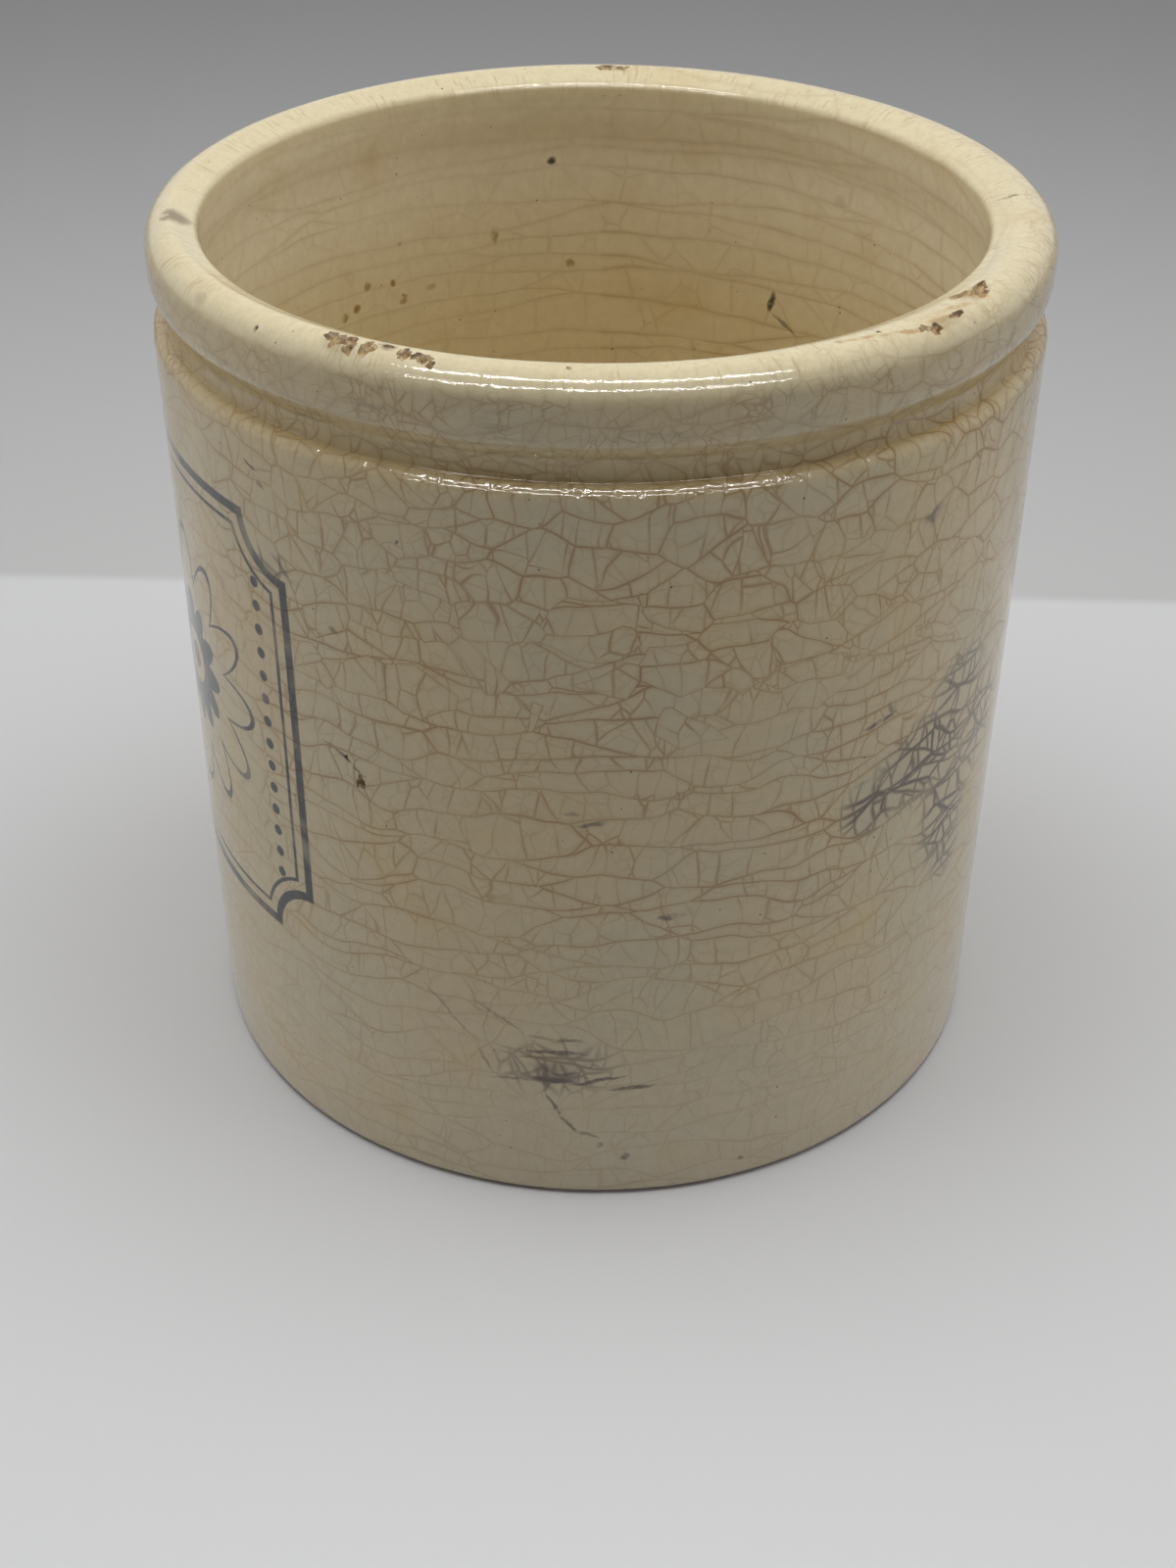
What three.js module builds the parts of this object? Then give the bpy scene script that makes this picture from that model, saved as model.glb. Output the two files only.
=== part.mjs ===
// Stoneware preserve jar: a straight-sided pot with a rolled rim bead, a tie groove and
// lip under the bead, and a shallow recess under the base, glazed inside and out.
// Millimetres, +Z up, origin on the jar's axis in the plane it stands on.

import * as THREE from 'three';

// Clay wall and floor
const bodyHeight = 113.6; // standing plane to the crest of the rim
const shoulderRadius = 54.5; // outside of the wall at the lip, and of the rim bead
const footRadius = 53.05; // outside of the wall just above the foot
const wallThickness = 5.6; // side wall between the rim and the floor
const floorThickness = 5.8; // clay between the inside floor and the recess
const insideCorner = 9; // rounding where the inside wall meets the floor

// Rim bead, tie groove and lip
const beadThickness = 6.45; // across the bead, from the mouth to its outside
const crestSetback = 3; // from the bead's outside in to its crest
const crownHeight = 3; // rounding from the crest down to the bead's outside
const crestRounding = 2.8; // from the crest round to the slope towards the mouth
const mouthSlope = 24; // degrees that the top of the bead falls towards the mouth
const mouthRounding = 0.8; // edge where that slope turns down into the mouth
const beadHeight = 5.2; // crest down to where the bead's side draws in
const grooveWidth = 7.3; // from there down to the top of the lip
const grooveDepth = 1.9; // how far the tie groove is cut into the wall
const grooveCove = 1.6; // height of the hollow between the groove and the lip
const lipRounding = 1.3; // rounded upper edge of the wall under the groove

// Foot ring and the recess inside it
const footRounding = 1.5; // outside edge of the foot
const bareFootHeight = 0.7; // unglazed clay showing above the standing plane
const footRingWidth = 6; // flat ring that the jar stands on
const recessDepth = 2.2; // recess roof above the standing plane
const recessCove = 4; // width of the hollow between the foot ring and the recess roof

// Fired glaze coats
const outerGlazeThickness = 0.4;
const innerGlazeThickness = 0.4;
const baseGlazeThickness = 0.35;

const turns = 48; // facets round the jar
const coveSteps = 4; // facets across a hollow

const at = (radius, height) => new THREE.Vector2(radius, height);

// Heights and radii that follow from the sizes above
const mouthRadius = shoulderRadius - beadThickness;
const crestRadius = shoulderRadius - crestSetback;
const crownFoot = bodyHeight - crownHeight;
const slope = THREE.MathUtils.degToRad(mouthSlope);
const slopeTop = at(
  crestRadius - crestRounding * Math.sin(slope),
  bodyHeight - crestRounding * (1 - Math.cos(slope)),
);
const slopeFootRadius = mouthRadius + mouthRounding * (1 - Math.sin(slope));
const slopeFootHeight = slopeTop.y - (slopeTop.x - slopeFootRadius) * Math.tan(slope);
const mouthHeight = slopeFootHeight - mouthRounding * Math.cos(slope);
const beadFoot = bodyHeight - beadHeight;
const lipHeight = beadFoot - grooveWidth;
const grooveRadius = shoulderRadius - grooveDepth;
const grooveHeight = lipHeight + grooveCove;
const lip = Math.min(lipRounding, grooveDepth);
const insideTop = shoulderRadius - wallThickness;
const insideFoot = footRadius - wallThickness;
const floorHeight = recessDepth + floorThickness;
const cornerHeight = floorHeight + insideCorner;
const footOuterRadius = footRadius - footRounding;
const footInnerRadius = footOuterRadius - footRingWidth;
const recessRadius = footInnerRadius - recessCove;
const glazeLineAngle = Math.asin(Math.min(bareFootHeight / footRounding, 1) - 1);

const line = (from, to) => new THREE.LineCurve(from, to);
const oval = (radius, height, across, up, from, to) =>
  new THREE.EllipseCurve(radius, height, across, up, from, to, to < from);
const arc = (radius, height, rounding, from, to) =>
  oval(radius, height, rounding, rounding, from, to);

// A curve that leaves one height upright and reaches the next upright
function upright(from, to) {
  const middle = (from.y + to.y) / 2;
  return new THREE.CubicBezierCurve(from, at(from.x, middle), at(to.x, middle), to);
}

// Joins curves, each with its number of steps, into one run of points
function outline(...runs) {
  const points = runs.flatMap(([curve, steps]) => curve.getPoints(steps));
  return points.filter((point, i) => i === 0 || point.distanceTo(points[i - 1]) > 1e-6);
}

// The same run of points, pushed off the clay by the thickness of a coat
function coatOver(points, thickness) {
  return points.map((point, i) => {
    const before = points[Math.max(i - 1, 0)];
    const after = points[Math.min(i + 1, points.length - 1)];
    const arriving = point.clone().sub(before).normalize();
    const leaving = after.clone().sub(point).normalize();
    const along = arriving.add(leaving).normalize();
    return at(point.x + along.y * thickness, point.y - along.x * thickness);
  });
}

// Turns an outline round the jar's axis and names the piece
function thrown(name, points, color, roughness) {
  const geometry = new THREE.LatheGeometry(points, turns).rotateX(Math.PI / 2);
  const material = new THREE.MeshStandardMaterial({ color, roughness, metalness: 0 });
  const piece = new THREE.Mesh(geometry, material);
  piece.name = name;
  return piece;
}

// Underside, from the axis out over the recess roof to the glaze line on the foot
const underside = outline(
  [line(at(0, recessDepth), at(recessRadius, recessDepth)), 1],
  [
    new THREE.QuadraticBezierCurve(
      at(recessRadius, recessDepth),
      at(footInnerRadius, recessDepth),
      at(footInnerRadius, 0),
    ),
    coveSteps,
  ],
  [line(at(footInnerRadius, 0), at(footOuterRadius, 0)), 1],
  [arc(footOuterRadius, footRounding, footRounding, -Math.PI / 2, glazeLineAngle), 3],
);

// Outside, from the glaze line up the wall, over lip, groove and bead to the crest
const outside = outline(
  [arc(footOuterRadius, footRounding, footRounding, glazeLineAngle, 0), 3],
  [line(at(footRadius, footRounding), at(shoulderRadius, lipHeight - lip)), 1],
  [arc(shoulderRadius - lip, lipHeight - lip, lip, 0, Math.PI / 2), 4],
  [
    new THREE.QuadraticBezierCurve(
      at(shoulderRadius - lip, lipHeight),
      at(grooveRadius, lipHeight),
      at(grooveRadius, grooveHeight),
    ),
    coveSteps,
  ],
  [upright(at(grooveRadius, grooveHeight), at(shoulderRadius, beadFoot)), 6],
  [line(at(shoulderRadius, beadFoot), at(shoulderRadius, crownFoot)), 1],
  [oval(crestRadius, crownFoot, crestSetback, crownHeight, 0, Math.PI / 2), 5],
);

// Inside, from the crest down the wall to the middle of the floor
const inside = outline(
  [arc(crestRadius, bodyHeight - crestRounding, crestRounding, Math.PI / 2, Math.PI / 2 + slope), 3],
  [line(slopeTop, at(slopeFootRadius, slopeFootHeight)), 1],
  [arc(mouthRadius + mouthRounding, mouthHeight, mouthRounding, Math.PI / 2 + slope, Math.PI), 4],
  [upright(at(mouthRadius, mouthHeight), at(insideTop, lipHeight)), 3],
  [line(at(insideTop, lipHeight), at(insideFoot, cornerHeight)), 1],
  [arc(insideFoot - insideCorner, cornerHeight, insideCorner, 0, -Math.PI / 2), 5],
  [line(at(insideFoot - insideCorner, floorHeight), at(0, floorHeight)), 1],
);

// Both coats follow the whole glazed skin, so that they meet squarely on the crest
const glazedSkin = [...outside, ...inside.slice(1)];
const crest = outside.length - 1;
const outerCoat = coatOver(glazedSkin, outerGlazeThickness).slice(0, crest + 1);
const innerCoat = coatOver(glazedSkin, innerGlazeThickness).slice(crest);

// The recess is glazed down to the last step of its hollow, and the foot ring is bare
const recess = underside.slice(0, coveSteps + 1);
const baseCoat = coatOver(underside, baseGlazeThickness).slice(0, recess.length);

const jar = new THREE.Group();
jar.name = 'preserve_jar';
jar.add(
  thrown('clay_body', [...underside, ...outside.slice(1), ...inside.slice(1)], 0xb48d68, 0.9),
  thrown('outer_glaze', [...outerCoat, ...outside.toReversed(), outerCoat[0]], 0xded3b2, 0.2),
  thrown('inner_glaze', [...inside.toReversed(), ...innerCoat], 0xd6c394, 0.2),
  thrown('base_glaze', [...baseCoat, ...recess.toReversed()], 0xdccfa9, 0.25),
);

export default jar;
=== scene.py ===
from math import asin, atan2, cos, degrees, hypot, pi, radians, sin, tan
from types import SimpleNamespace

import bmesh
import bpy
from mathutils import Matrix, Vector, noise


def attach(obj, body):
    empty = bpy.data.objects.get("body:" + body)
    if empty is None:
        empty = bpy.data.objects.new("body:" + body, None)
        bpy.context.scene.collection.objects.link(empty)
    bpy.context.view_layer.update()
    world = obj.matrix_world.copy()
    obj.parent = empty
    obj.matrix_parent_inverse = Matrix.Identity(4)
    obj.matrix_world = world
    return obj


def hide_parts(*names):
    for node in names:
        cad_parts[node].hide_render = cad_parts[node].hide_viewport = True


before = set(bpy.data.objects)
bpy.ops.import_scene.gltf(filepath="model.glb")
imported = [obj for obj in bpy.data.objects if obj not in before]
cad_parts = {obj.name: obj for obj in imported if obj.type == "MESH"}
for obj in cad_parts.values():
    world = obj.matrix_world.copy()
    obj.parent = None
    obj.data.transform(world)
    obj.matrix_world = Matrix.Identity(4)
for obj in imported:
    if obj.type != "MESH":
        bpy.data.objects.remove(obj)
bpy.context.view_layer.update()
scene = bpy.context.scene
mm = 0.001

# Jar outline, over the same sizes as the CAD solids

jar = {
    "bodyHeight": 113.6 * mm,
    "shoulderRadius": 54.5 * mm,
    "footRadius": 53.05 * mm,
    "wallThickness": 5.6 * mm,
    "floorThickness": 5.8 * mm,
    "insideCorner": 9 * mm,
    "beadThickness": 6.45 * mm,
    "crestSetback": 3 * mm,
    "crownHeight": 3 * mm,
    "crestRounding": 2.8 * mm,
    "mouthSlope": 24,        # degrees that the rim falls towards the mouth
    "mouthRounding": 0.8 * mm,
    "beadHeight": 5.2 * mm,
    "grooveWidth": 7.3 * mm,
    "grooveDepth": 1.9 * mm,
    "grooveCove": 1.6 * mm,
    "lipRounding": 1.3 * mm,
    "footRounding": 1.5 * mm,
    "bareFootHeight": 0.7 * mm,
    "footRingWidth": 6 * mm,
    "recessDepth": 2.2 * mm,
    "recessCove": 4 * mm,
    "glazeThickness": 0.4 * mm,
    "baseGlazeThickness": 0.35 * mm,
    "turns": 320,            # facets round the jar
    "sectors": 16,           # spun one by one, then copied round
    "wallSteps": 44,         # facets up a long straight wall
    "roofSteps": 16,         # facets across the recess roof, and down its cove
    "coveSteps": 8,
    "outOfRound": 0.14 * mm,  # slow wander of the thrown wall
    "slowWaves": 22,         # its waves per metre
    "ripple": 0.035 * mm,    # finer unevenness of the fired skin
    "fineWaves": 130,
    "evenWithin": 20 * mm,   # no unevenness this close to the axis
    "mouthShift": -0.87 * mm,  # the hollow stands a little off the middle
    "shiftEdge": 52.9 * mm,  # from this radius inwards, all of it after the ease below
    "shiftEase": 3.4 * mm,
    "shiftFoot": 4 * mm,     # and from this height up, all of it at twice the height
    "rimLift": 0.5 * mm,     # the rim is a little higher at the back
}


# Runs of points (radius, height) along the outline
def lineRun(start, end, steps):
    return [(start[0] + (end[0] - start[0]) * i / steps, start[1] + (end[1] - start[1]) * i / steps)
            for i in range(steps + 1)]


def ovalRun(radius, height, across, up, start, end, steps):
    angles = [start + (end - start) * i / steps for i in range(steps + 1)]
    return [(radius + across * cos(a), height + up * sin(a)) for a in angles]


def coveRun(start, corner, end, steps):
    shares = [i / steps for i in range(steps + 1)]
    return [tuple((1 - t) ** 2 * a + 2 * t * (1 - t) * b + t * t * c
                  for a, b, c in zip(start, corner, end)) for t in shares]


def uprightRun(start, end, steps):
    shares = [i / steps for i in range(steps + 1)]
    middle = (start[1] + end[1]) / 2
    return [(start[0] + (end[0] - start[0]) * t * t * (3 - 2 * t),
             (1 - t) ** 3 * start[1] + 3 * t * (1 - t) * middle + t ** 3 * end[1]) for t in shares]


def joined(*runs):
    points = []
    for run in runs:
        for point in run:
            if not points or hypot(point[0] - points[-1][0], point[1] - points[-1][1]) > 1e-6:
                points.append(point)
    return points


# The same points, pushed off the clay by the thickness of a coat
def coatOver(points, thickness):
    coat = []
    for i, (radius, height) in enumerate(points):
        before, after = points[max(i - 1, 0)], points[min(i + 1, len(points) - 1)]
        along = Vector((after[0] - before[0], after[1] - before[1])).normalized()
        coat.append((radius + along.y * thickness, height - along.x * thickness))
    return coat


def jarOutlines(size):
    mouthRadius = size["shoulderRadius"] - size["beadThickness"]
    crestRadius = size["shoulderRadius"] - size["crestSetback"]
    crownFoot = size["bodyHeight"] - size["crownHeight"]
    slope, crest, edge = radians(size["mouthSlope"]), size["crestRounding"], size["mouthRounding"]
    slopeTop = (crestRadius - crest * sin(slope), size["bodyHeight"] - crest * (1 - cos(slope)))
    slopeReach = mouthRadius + edge * (1 - sin(slope))
    slopeFoot = (slopeReach, slopeTop[1] - (slopeTop[0] - slopeReach) * tan(slope))
    mouthHeight = slopeFoot[1] - edge * cos(slope)
    beadFoot = size["bodyHeight"] - size["beadHeight"]
    lipHeight = beadFoot - size["grooveWidth"]
    lip = size["lipRounding"]
    grooveRadius = size["shoulderRadius"] - size["grooveDepth"]
    grooveHeight = lipHeight + size["grooveCove"]
    insideTop = size["shoulderRadius"] - size["wallThickness"]
    insideFoot = size["footRadius"] - size["wallThickness"]
    floorHeight = size["recessDepth"] + size["floorThickness"]
    corner = size["insideCorner"]
    rounding = size["footRounding"]
    footOuter = size["footRadius"] - rounding
    footInner = footOuter - size["footRingWidth"]
    recessRadius = footInner - size["recessCove"]
    glazeLine = asin(size["bareFootHeight"] / rounding - 1)
    underside = joined(
        lineRun((0, size["recessDepth"]), (recessRadius, size["recessDepth"]), size["roofSteps"]),
        coveRun((recessRadius, size["recessDepth"]), (footInner, size["recessDepth"]),
                (footInner, 0), size["coveSteps"]),
        lineRun((footInner, 0), (footOuter, 0), 3),
        ovalRun(footOuter, rounding, rounding, rounding, -pi / 2, glazeLine, 5),
    )
    outside = joined(
        ovalRun(footOuter, rounding, rounding, rounding, glazeLine, 0, 6),
        lineRun((size["footRadius"], rounding), (size["shoulderRadius"], lipHeight - lip),
                size["wallSteps"]),
        ovalRun(size["shoulderRadius"] - lip, lipHeight - lip, lip, lip, 0, pi / 2, 9),
        coveRun((size["shoulderRadius"] - lip, lipHeight), (grooveRadius, lipHeight),
                (grooveRadius, grooveHeight), 7),
        uprightRun((grooveRadius, grooveHeight), (size["shoulderRadius"], beadFoot), 14),
        lineRun((size["shoulderRadius"], beadFoot), (size["shoulderRadius"], crownFoot), 3),
        ovalRun(crestRadius, crownFoot, size["crestSetback"], size["crownHeight"], 0, pi / 2, 14),
    )
    inside = joined(
        ovalRun(crestRadius, size["bodyHeight"] - crest, crest, crest, pi / 2, pi / 2 + slope, 6),
        lineRun(slopeTop, slopeFoot, 4),
        ovalRun(mouthRadius + edge, mouthHeight, edge, edge, pi / 2 + slope, pi, 8),
        uprightRun((mouthRadius, mouthHeight), (insideTop, lipHeight), 10),
        lineRun((insideTop, lipHeight), (insideFoot, floorHeight + corner), size["wallSteps"] - 10),
        ovalRun(insideFoot - corner, floorHeight + corner, corner, corner, 0, -pi / 2, 10),
        lineRun((insideFoot - corner, floorHeight), (0, floorHeight), 14),
    )
    return underside, outside, inside


underside, outside, inside = jarOutlines(jar)
skin = outside + inside[1:]
crest = len(outside) - 1
glazeSkin = coatOver(skin, jar["glazeThickness"])

# The recess coat stops three quarters of the way down the cove
recessPoints = jar["roofSteps"] + jar["coveSteps"] * 3 // 4 + 1
recess = underside[:recessPoints]
recessSkin = coatOver(underside, jar["baseGlazeThickness"])[:recessPoints]


# Small unevenness of a thrown pot: out of round, rim higher at the back, hollow off the middle
def throwUneven(vert):
    reach = hypot(vert.co.x, vert.co.y)
    if reach <= jar["evenWithin"]:
        return
    slow = noise.noise(vert.co * jar["slowWaves"])
    fine = noise.noise(vert.co * jar["fineWaves"] + Vector((7, 3, 1)))
    push = jar["outOfRound"] * slow + jar["ripple"] * fine
    vert.co.x *= 1 + push / reach
    vert.co.y *= 1 + push / reach
    risen = max(0, vert.co.z / jar["bodyHeight"] - 0.5) * 2
    vert.co.z += jar["rimLift"] * risen * max(0, vert.co.y / jar["shoulderRadius"]) ** 2
    inwards = (jar["shiftEdge"] - reach) / jar["shiftEase"]
    upwards = (vert.co.z - jar["shiftFoot"]) / jar["shiftFoot"]
    within = max(0, min(1, inwards, upwards))
    vert.co.x += jar["mouthShift"] * within * within * (3 - 2 * within)


# Spins an outline round the jar's axis; a closed one is a ring, an open one starts and ends on it
def spinShell(name, points, closed):
    bm = bmesh.new()
    verts = [bm.verts.new((radius, 0, height)) for radius, height in points]
    edges = [bm.edges.new(pair) for pair in zip(verts, verts[1:])]
    if closed:
        edges.append(bm.edges.new((verts[-1], verts[0])))
    sector = 2 * pi / jar["sectors"]
    bmesh.ops.spin(bm, geom=verts + edges, cent=(0, 0, 0), axis=(0, 0, 1), angle=sector,
                   steps=jar["turns"] // jar["sectors"])
    bmesh.ops.spin(bm, geom=bm.verts[:] + bm.edges[:] + bm.faces[:], cent=(0, 0, 0), axis=(0, 0, 1),
                   angle=2 * pi - sector, steps=jar["sectors"] - 1, use_duplicate=True)
    bmesh.ops.remove_doubles(bm, verts=bm.verts, dist=1e-6)
    for vert in bm.verts:
        throwUneven(vert)
    bmesh.ops.recalc_face_normals(bm, faces=bm.faces)
    for face in bm.faces:
        face.smooth = True
    mesh = bpy.data.meshes.new(name)
    bm.to_mesh(mesh)
    bm.free()
    piece = bpy.data.objects.new(name, mesh)
    scene.collection.objects.link(piece)
    return piece


clayBody = spinShell("clayBody", joined(underside, outside, inside), False)
outerGlaze = spinShell("outerGlaze", glazeSkin[:crest + 1] + outside[::-1], True)
innerGlaze = spinShell("innerGlaze", inside[::-1] + glazeSkin[crest:], False)
baseGlaze = spinShell("baseGlaze", recessSkin + recess[::-1], False)
shells = (clayBody, outerGlaze, innerGlaze, baseGlaze)
print("shells spun:", [len(piece.data.polygons) for piece in shells])

# Chips knocked out of the rim and the wall, through the glaze into the clay.
# Each has its angle from the front in degrees, radius and height of its middle, and its half sizes
# round the jar, across the rim or up the wall, and in depth, all in millimetres

chips = {
    "lumps": 0.42,     # height of the coarse knobs on the balls, and how close they sit
    "lumpScale": 1.7,
    "grain": 0.14,     # and of the fine knobs
    "grainScale": 5.5,
    "grow": 1.25,      # balls are larger than the hollows they leave
    "lift": 1.5,       # and stand this many depths above the surface
    "rimFoot": 100,    # marks below this height are knocked into the wall
    "sets": 5,         # no two balls of a set overlap
    "sharpAngle": 38,  # degrees from which an edge stays sharp
    "marks": [
        (-32.5, 52.3, 113.90, 0.95, 0.75, 0.75),
        (-31.2, 53.0, 113.70, 0.90, 1.05, 0.85),
        (-29.8, 52.4, 113.90, 0.85, 0.95, 0.75),
        (-29.5, 53.6, 113.30, 0.75, 0.95, 0.85),
        (-27.3, 52.7, 113.80, 1.10, 1.05, 0.85),
        (-25.0, 51.9, 114.00, 0.80, 0.30, 0.65),
        (-22.7, 52.7, 113.80, 0.75, 1.05, 0.80),
        (-20.4, 52.8, 113.75, 1.15, 0.70, 0.80),
        (-19.1, 53.4, 113.40, 0.45, 0.45, 0.70),
        (-42.7, 54.1, 112.80, 0.18, 0.18, 0.45),
        (50.8, 50.2, 113.70, 1.20, 0.60, 0.80),
        (52.2, 50.7, 113.85, 1.60, 0.95, 0.80),
        (53.9, 50.9, 113.95, 1.60, 1.00, 0.80),
        (55.6, 50.6, 113.85, 1.30, 0.55, 0.75),
        (53.3, 51.9, 114.00, 1.30, 0.90, 0.75),
        (46.6, 52.8, 113.75, 1.15, 0.42, 0.70),
        (42.0, 53.5, 113.40, 1.10, 0.65, 0.80),
        (40.6, 52.9, 113.70, 0.70, 0.45, 0.70),
        (34.9, 51.3, 114.00, 0.30, 0.22, 0.55),
        (179.6, 50.9, 114.45, 1.50, 0.70, 0.75),
        (176.9, 50.7, 114.40, 0.95, 0.50, 0.70),
        (91.2, 49.3, 113.40, 0.50, 0.85, 0.75),
        (-11.2, 52.7, 113.80, 0.28, 0.32, 0.60),
        (-3.5, 52.2, 113.90, 0.32, 0.28, 0.60),
        (-30.7, 54.35, 59.40, 0.65, 1.05, 0.75),
        (-32.6, 54.40, 62.20, 0.32, 0.32, 0.60),
    ],
}


# Knobbly balls set a little above the surface, so that each leaves a hollow with sloping sides
def chipCutters(name, marks):
    bm = bmesh.new()
    for angle, radius, height, around, across, deep in marks:
        made = bmesh.ops.create_icosphere(bm, subdivisions=4, radius=1)
        turn = radians(angle)
        outward = Vector((sin(turn), -cos(turn), 0))
        along = Vector((cos(turn), sin(turn), 0))
        face = outward if height < chips["rimFoot"] else Vector((0, 0, 1))
        tall = Vector((0, 0, 1)) if height < chips["rimFoot"] else outward
        centre = outward * radius + Vector((0, 0, height)) + face * deep * chips["lift"]
        shift = Vector((angle, height, 0))
        for vert in made["verts"]:
            knock = 1 + chips["lumps"] * noise.noise(vert.co * chips["lumpScale"] + shift)
            knock += chips["grain"] * noise.noise(vert.co * chips["grainScale"] + shift)
            local = vert.co * knock * chips["grow"]
            vert.co = along * local.x * around + tall * local.y * across
            drop = face * local.z * deep * (1 + chips["lift"]) / chips["grow"]
            vert.co = (centre + vert.co + drop) * mm
    bmesh.ops.recalc_face_normals(bm, faces=bm.faces)
    mesh = bpy.data.meshes.new(name)
    bm.to_mesh(mesh)
    bm.free()
    broken = mesh.attributes.new("broken", "FLOAT", "FACE")
    broken.data.foreach_set("value", [1.0] * len(mesh.polygons))
    cutters = bpy.data.objects.new(name, mesh)
    scene.collection.objects.link(cutters)
    return cutters


def joinedBy(piece, operation, other):
    step = piece.modifiers.new(operation, "BOOLEAN")
    step.operation = operation
    step.solver = "MANIFOLD"
    step.object = other


# Crumbs that the cutting leaves loose are swept away
def sweepCrumbs(mesh):
    bm = bmesh.new()
    bm.from_mesh(mesh)
    body, reached = set(), [min(bm.verts, key=lambda vert: vert.co.z)]
    while reached:
        vert = reached.pop()
        if vert not in body:
            body.add(vert)
            reached += [edge.other_vert(vert) for edge in vert.link_edges]
    bmesh.ops.delete(bm, geom=[vert for vert in bm.verts if vert not in body], context="VERTS")
    bm.to_mesh(mesh)
    bm.free()


# Neighbouring chips overlap, so they are made in separate sets and united first
cutterSets = [chipCutters(f"chipCutters{i}", chips["marks"][i::chips["sets"]])
              for i in range(chips["sets"])]
for other in cutterSets[1:]:
    joinedBy(cutterSets[0], "UNION", other)
for piece in (clayBody, outerGlaze, innerGlaze):
    joinedBy(piece, "DIFFERENCE", cutterSets[0])
    bpy.context.view_layer.update()
    chipped = piece.evaluated_get(bpy.context.evaluated_depsgraph_get())
    mesh = bpy.data.meshes.new_from_object(chipped)
    piece.modifiers.clear()
    piece.data = mesh
    sweepCrumbs(mesh)
    mesh.set_sharp_from_angle(angle=radians(chips["sharpAngle"]))
for cutters in cutterSets:
    bpy.data.objects.remove(cutters)
print("rim chipped:", [len(piece.data.polygons) for piece in (clayBody, outerGlaze, innerGlaze)])

# Short forms for shader nodes


def newMaterial(name):
    material = bpy.data.materials.new(name)
    material.use_nodes = True
    material.node_tree.nodes.clear()
    return material, material.node_tree


def put(tree, kind, sockets=None, **settings):
    node = tree.nodes.new(kind)
    for key, value in settings.items():
        setattr(node, key, value)
    for key, value in (sockets or {}).items():
        if isinstance(value, bpy.types.NodeSocket):
            tree.links.new(value, node.inputs[key])
        else:
            node.inputs[key].default_value = value
    return node


def maths(tree, operation, *values):
    return put(tree, "ShaderNodeMath", dict(enumerate(values)), operation=operation).outputs[0]


def times(tree, *factors):
    product = factors[0]
    for factor in factors[1:]:
        product = maths(tree, "MULTIPLY", product, factor)
    return product


def largest(tree, *values):
    most = values[0]
    for value in values[1:]:
        most = maths(tree, "MAXIMUM", most, value)
    return most


def vectors(tree, operation, *values):
    node = put(tree, "ShaderNodeVectorMath", dict(enumerate(values)), operation=operation)
    return node.outputs["Value" if operation in ("LENGTH", "DOT_PRODUCT") else "Vector"]


def eased(tree, value, low, high, atLow=0.0, atHigh=1.0):
    sockets = {"Value": value, "From Min": low, "From Max": high, "To Min": atLow, "To Max": atHigh}
    return put(tree, "ShaderNodeMapRange", sockets, interpolation_type="SMOOTHSTEP").outputs["Result"]


# Rises over the first two values, and falls again over the last two
def between(tree, value, band):
    start, full, fading, end = band
    return times(tree, eased(tree, value, start, full), eased(tree, value, fading, end, 1.0, 0.0))


def cloud(tree, place, size, detail=2.0, output="Fac"):
    sockets = {"Vector": place, "Scale": 1 / size, "Detail": detail, "Roughness": 0.55}
    return put(tree, "ShaderNodeTexNoise", sockets).outputs[output]


def shifted(tree, place, offset):
    return vectors(tree, "ADD", place, offset)


# Irregular offset in every direction
def wander(tree, place, size, detail=1.0):
    return vectors(tree, "SUBTRACT", cloud(tree, place, size, detail, "Color"), (0.5, 0.5, 0.5))


def strayed(tree, place, offset, amount):
    return shifted(tree, place, vectors(tree, "MULTIPLY", offset, amount))


def flat(tree, x, y):
    return put(tree, "ShaderNodeCombineXYZ", {"X": x, "Y": y}).outputs["Vector"]


def tint(tree, share, under, over, blend="MIX"):
    node = put(tree, "ShaderNodeMix", {0: share, 6: under, 7: over}, data_type="RGBA", blend_type=blend)
    return node.outputs[2]


def millimetres(tree):
    coords = put(tree, "ShaderNodeTexCoord").outputs["Object"]
    scaled = put(tree, "ShaderNodeVectorMath", {0: coords, "Scale": 1 / mm}, operation="SCALE")
    return scaled.outputs["Vector"]


# Distance in millimetres along the surface to the nearest crack of one generation,
# with the colour and the centre of the cell that it bounds
def cracks(tree, place, size, shift):
    inCells = vectors(tree, "ADD", vectors(tree, "DIVIDE", place, size), shift)
    sockets = {"Vector": inCells, "Scale": 1.0, "Randomness": 0.92}
    near = put(tree, "ShaderNodeTexVoronoi", sockets, feature="F1")
    other = put(tree, "ShaderNodeTexVoronoi", sockets, feature="F2")
    across = vectors(tree, "SUBTRACT", other.outputs["Position"], near.outputs["Position"])
    across = vectors(tree, "NORMALIZE", across)
    middle = vectors(tree, "ADD", other.outputs["Position"], near.outputs["Position"])
    middle = vectors(tree, "MULTIPLY", middle, (0.5, 0.5, 0.5))
    gap = vectors(tree, "DOT_PRODUCT", across, vectors(tree, "SUBTRACT", middle, inCells))
    slope = vectors(tree, "DIVIDE", across, size)
    normal = put(tree, "ShaderNodeNewGeometry").outputs["Normal"]
    inward = vectors(tree, "PROJECT", slope, normal)
    slope = vectors(tree, "LENGTH", vectors(tree, "SUBTRACT", slope, inward))
    return maths(tree, "DIVIDE", gap, slope), near.outputs["Color"], near.outputs["Position"]


# Bare clay: pinkish at the foot, brown and dirty where the rim is chipped

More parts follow.
